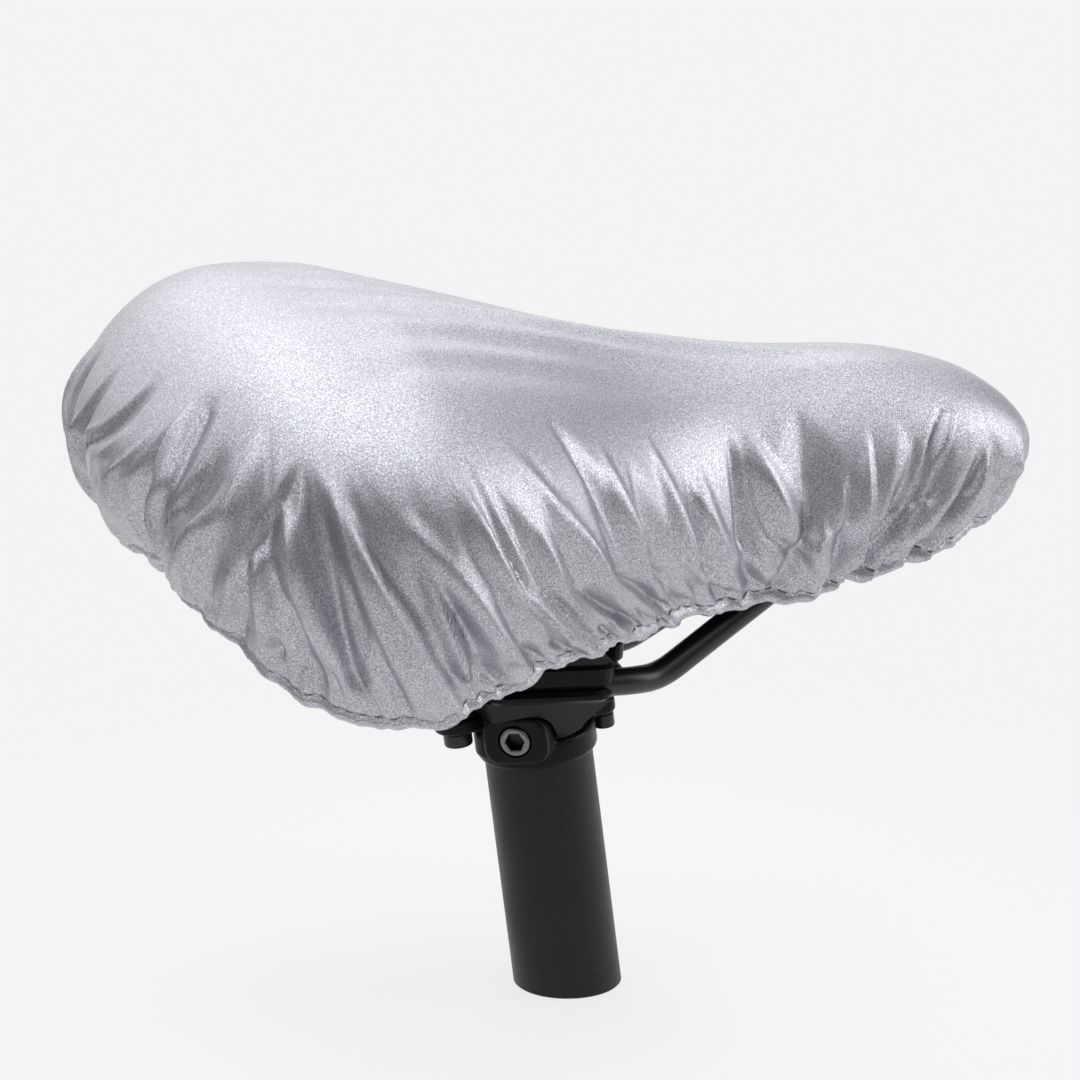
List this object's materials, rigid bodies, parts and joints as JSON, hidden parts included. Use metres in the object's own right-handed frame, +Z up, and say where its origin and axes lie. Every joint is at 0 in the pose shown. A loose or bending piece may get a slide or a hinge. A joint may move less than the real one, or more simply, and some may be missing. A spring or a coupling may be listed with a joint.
{
  "type": "bicycle saddle cover on a bicycle saddle and seat post",
  "caption": "Elastic-hemmed silver reflective cloth cover pulled over a bicycle saddle, shown with the saddle's rails, clamp and a cut-off seat post it stands on.",
  "frame": {"origin": "middle of the seat post's flat foot, on the floor", "axes": "+X towards the saddle's nose, +Y to the saddle's left, +Z up"},
  "size_m": [0.2535, 0.1743, 0.189],
  "materials": {
    "cover_cloth": "silver reflective woven cloth, satin with a fine sparkle",
    "saddle_padding": "matt black padding",
    "rail_steel": "satin black",
    "clamp_black": "black anodised, satin",
    "bolt_steel": "dark steel, machined",
    "post_black": "matt black, fine grain"
  },
  "bodies": {
    "root": {"cover": "cover_cloth", "saddle": "saddle_padding", "nose_bracket": "rail_steel", "rail_right": "rail_steel", "rail_left": "rail_steel", "clamp_top": "clamp_black", "clamp_base": "clamp_black", "collar": "clamp_black", "bolt_front": "bolt_steel", "bolt_rear": "bolt_steel", "bolt_side": "bolt_steel", "seat_post": "post_black"}
  },
  "joints": []
}
